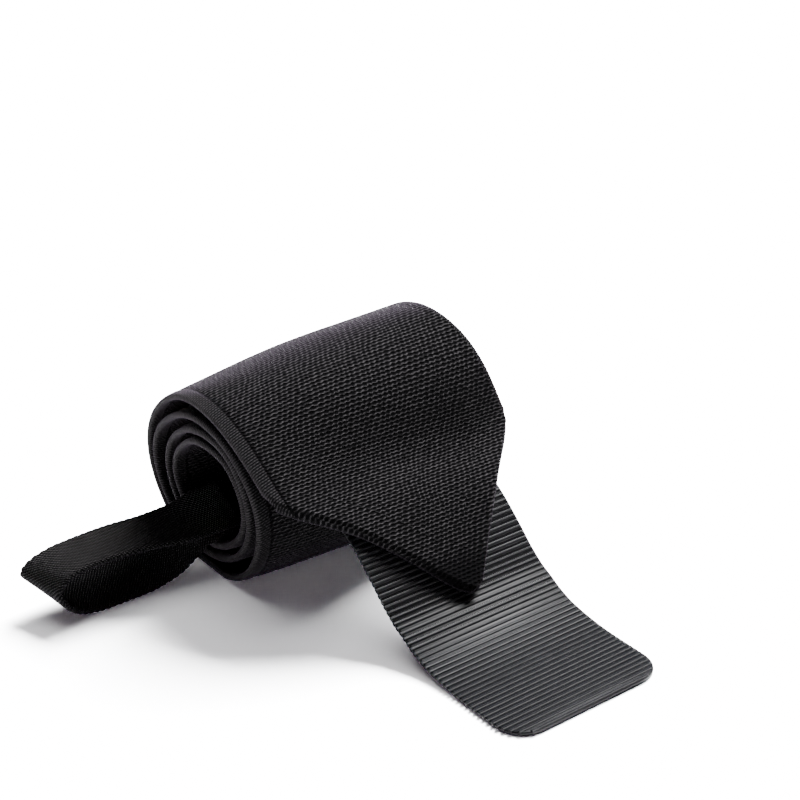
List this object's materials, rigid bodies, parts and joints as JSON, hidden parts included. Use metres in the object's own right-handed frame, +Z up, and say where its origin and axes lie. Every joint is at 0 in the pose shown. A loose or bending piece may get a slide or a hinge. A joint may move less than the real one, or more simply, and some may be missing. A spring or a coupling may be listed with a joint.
{
  "type": "wrist wrap",
  "caption": "Wide elastic wrist wrap, loosely rolled, with a pointed end, a ribbed hook tab and a thumb loop.",
  "frame": {"origin": "middle of the flattened strip on which the roll rests, halfway along its axis", "axes": "+Z up from the surface, X along the roll's axis with the thumb loop at -X, -Y towards the hook tab's end"},
  "size_m": [0.13, 0.1471, 0.0543],
  "materials": {
    "elastic_cloth": "matt black ribbed elastic weave",
    "strap_cloth": "matt black narrow elastic webbing",
    "hook_plastic": "dark grey moulded plastic with fine cross ribs and a soft sheen"
  },
  "bodies": {
    "root": {"elastic_band": "elastic_cloth", "hook_tab": "hook_plastic", "thumb_loop": "strap_cloth"}
  },
  "joints": []
}
